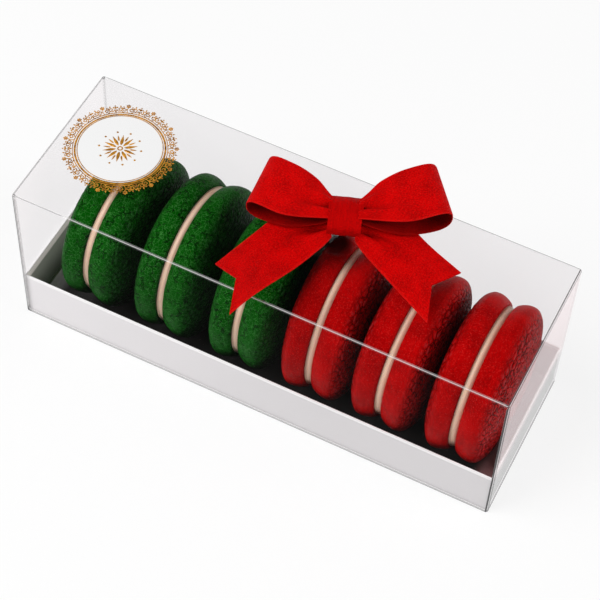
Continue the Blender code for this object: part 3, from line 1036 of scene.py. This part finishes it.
def rosette(gold, radius):
    """A plain rosette in the middle of the label, ringed with dots."""
    base = LABEL_TOP
    petals = 10
    for petal in range(petals):
        middle = 360 / petals * petal
        leaf(gold, middle, 0, radius * 0.24, 0, radius * 0.76, 1.0, base)
        leaf(gold, middle + 180 / petals, 0, radius * 0.55, 0, radius * 0.42, 0.5, base)
        gold.ring(0.18, 0.32, centre=polar(radius * 1.22, middle + 180 / petals), steps=10, base=base)
    gold.ring(radius * 0.13, 0.42, steps=24, base=base)


class FILM_OT_box(bpy.types.Operator):
    """Finish the clear cover and the white card tray"""

    bl_idname = "macaron_box.box"
    bl_label = "Cover and tray"

    def execute(self, context):
        settings = context.scene.macaron_box
        finish_solid("cover", film_finish(settings.haze, settings.fold))
        finish_solid("tray", card_finish(settings.card))
        return {"FINISHED"}


class SHELL_OT_macarons(bpy.types.Operator):
    """Build the six macarons: two wrinkled shells and a filling each"""

    bl_idname = "macaron_box.macarons"
    bl_label = "Macarons"

    def execute(self, context):
        settings = context.scene.macaron_food
        # The third colour of each is a painted glint on the crease ridges of the domes.
        green = (settings.green, settings.green_ridge, (0.045, 0.115, 0.048))
        red = (settings.red, settings.red_ridge, (0.33, 0.032, 0.036))
        finishes = {
            "green": shell_finish("green_shell_skin", *green, cracked=1.0, creased=0.7),
            "red": shell_finish("red_shell_skin", *red, cracked=0.12, creased=1.0),
        }
        cream = filling_finish(settings.filling)
        outline = even_points(shell_outline(), lambda radius: 0.42 * MM if radius > 15 * MM else 1.3 * MM)
        hidden = (outline[:, 0] <= 0) & (outline[:, 1] <= SHELL_INNER_RADIUS - 0.9 * MM)
        hidden[0] = False
        outline = outline[~hidden]
        band = filling_outline(settings.swell)
        band = even_points(band, lambda radius: 0.2 * MM if radius > 24 * MM else 6 * MM)
        for number, (colour, along, turn) in enumerate(MACARONS, start=1):
            for side, word in ((-1, "left"), (1, "right")):
                seed = 2 * number + (side > 0)
                relief = skin_relief(settings, colour, seed)
                move = macaron_move(along, turn, side, seed)
                name = f"macaron_{number}_skin_{word}"
                mesh = turned_mesh(name, outline, settings.segments, relief, move)
                add_piece(name, mesh, finishes[colour], f"{colour}_shell", f"macaron_{number}_shell_{word}")
            name = f"macaron_{number}_cream"
            move = macaron_move(along, turn)
            mesh = turned_mesh(name, band, FILLING_SEGMENTS, filling_relief(number), move)
            add_piece(name, mesh, cream, "filling", f"macaron_{number}_filling")
        return {"FINISHED"}


class LABEL_OT_label(bpy.types.Operator):
    """Finish the label's disc and print its gold border and rosette"""

    bl_idname = "macaron_box.label"
    bl_label = "Label"

    def execute(self, context):
        settings = context.scene.macaron_label
        finish_solid("label_disc", label_finish(settings.paper))
        gold = Print(settings.relief)
        for radius, width in PRINT_RINGS:
            gold.ring(radius, width, base=LABEL_TOP if radius < DISC_RADIUS else LABEL_BOTTOM)
        pitch = 360 / settings.repeats
        for repeat in range(settings.repeats):
            border_motif(gold, repeat * pitch, pitch)
        rosette(gold, ROSETTE_RADIUS)
        mesh = smooth_mesh("label_gold_print", gold.points, gold.faces, sharp_degrees=35)
        add_piece("label_gold_print", mesh, gold_finish(settings.gold), "gold_foil", "label_border")
        return {"FINISHED"}


class RIBBON_OT_bow(bpy.types.Operator):
    """Tie the ribbon bow: two loops, two cut ends and the knot"""

    bl_idname = "macaron_box.bow"
    bl_label = "Ribbon bow"

    def execute(self, context):
        settings = context.scene.macaron_ribbon
        weave = ribbon_finish("red_ribbon_weave", settings.colour, settings.shade, 0.0)
        # The knot's ribbon is painted darker: painted shade on the wrapped band.
        shaded_knot_colour = tuple(channel * 0.82 for channel in settings.colour)
        wrapped = ribbon_finish("red_ribbon_wrapped", shaded_knot_colour, settings.shade, 0.85)
        pleat = settings.pleat
        grid = ribbon_grid(LOOP_STEPS)
        loops = {side: loop_points(*shape, pleat, *grid) for side, shape in LOOPS.items()}
        grid = ribbon_grid(TAIL_STEPS)
        tails = {side: tail_points(*shape, pleat, *grid) for side, shape in TAILS.items()}
        knot = add_piece("ribbon_knot", knot_mesh(settings.overlap), wrapped, "red_ribbon", "bow_knot")
        for kind, pieces, notch in (("loop", loops, 0), ("tail", tails, NOTCH)):
            for side, (middle, creases) in pieces.items():
                name = f"ribbon_{kind}_{side}"
                mesh = strip_mesh(name, bow_place(middle), creases, settings.thickness, kind == "loop")
                piece = add_piece(name, mesh, weave, "red_ribbon", f"bow_{kind}_{side}")
                length = float(ways_along(middle[:, middle.shape[1] // 2])[-1]) + notch
        return {"FINISHED"}


class STAGE_OT_studio(bpy.types.Operator):
    """Set the pale floor, the soft lights and the camera"""

    bl_idname = "macaron_box.studio"
    bl_label = "Studio"

    def execute(self, context):
        settings = context.scene.macaron_stage
        bm = bmesh.new()
        bmesh.ops.create_grid(bm, x_segments=1, y_segments=1, size=FLOOR_SIZE)
        mesh = bpy.data.meshes.new("floor")
        bm.to_mesh(mesh)
        bm.free()
        mesh.materials.append(floor_finish(settings.floor, settings.glow))
        floor = add_object("floor", mesh)
        floor.location.z = -FLOOR_GAP
        world = bpy.data.worlds.new("soft_light")
        world.use_nodes = True
        sky = world.node_tree.nodes["Background"]
        sky.inputs["Color"].default_value = (1, 1, 1, 1)
        sky.inputs["Strength"].default_value = settings.ambient
        context.scene.world = world
        add_light("key_light", KEY_PLACE, KEY_SIZE, settings.key)
        add_light("side_light", SIDE_PLACE, SIDE_SIZE, settings.side)
        add_camera()
        context.scene.view_settings.view_transform = "Standard"
        return {"FINISHED"}


def add_light(name, place, size, power):
    """A square soft light that is aimed at the box."""
    data = bpy.data.lights.new(name, "AREA")
    data.shape = "SQUARE"
    data.size = size
    data.energy = power
    light = add_object(name, data)
    light.location = place
    light.rotation_euler = (LIGHT_AIM - light.location).to_track_quat("-Z", "Y").to_euler()


def add_camera():
    """The photograph's viewpoint: above the front, turned towards the red end."""
    data = bpy.data.cameras.new("camera")
    data.sensor_width = SENSOR_WIDTH_MM
    data.lens = LENS_MM
    data.clip_start = 0.01
    camera = add_object("camera", data)
    right, down, ahead = Matrix.Rotation(CAMERA_TURN.length, 3, CAMERA_TURN.normalized())
    camera.matrix_world = Matrix((right, -down, -ahead)).transposed().to_4x4()
    camera.location = CAMERA_PLACE
    bpy.context.scene.camera = camera


class BOX_PT_panel(bpy.types.Panel):
    """Lists the operators and their settings"""

    bl_idname = "BOX_PT_macarons"
    bl_label = "Box of macarons"
    bl_space_type = "VIEW_3D"
    bl_region_type = "UI"
    bl_category = "Macarons"

    def draw(self, context):
        for group, (_, operator) in PARTS.items():
            column = self.layout.column(align=True)
            column.operator(operator.bl_idname)
            settings = getattr(context.scene, group)
            for name in settings.__annotations__:
                column.prop(settings, name)


PARTS = {
    "macaron_box": (BoxSettings, FILM_OT_box),
    "macaron_food": (MacaronSettings, SHELL_OT_macarons),
    "macaron_label": (LabelSettings, LABEL_OT_label),
    "macaron_ribbon": (RibbonSettings, RIBBON_OT_bow),
    "macaron_stage": (StageSettings, STAGE_OT_studio),
}
CLASSES = (*(cls for pair in PARTS.values() for cls in pair), BOX_PT_panel)


def register():
    for cls in CLASSES:
        bpy.utils.register_class(cls)
    for name, (settings, _) in PARTS.items():
        setattr(bpy.types.Scene, name, bpy.props.PointerProperty(type=settings))


def unregister():
    for name in PARTS:
        delattr(bpy.types.Scene, name)
    for cls in reversed(CLASSES):
        bpy.utils.unregister_class(cls)


def main():
    register()
    bpy.ops.macaron_box.box()
    bpy.ops.macaron_box.macarons()
    bpy.ops.macaron_box.label()
    bpy.ops.macaron_box.bow()
    bpy.ops.macaron_box.studio()


if __name__ == "__main__":
    main()
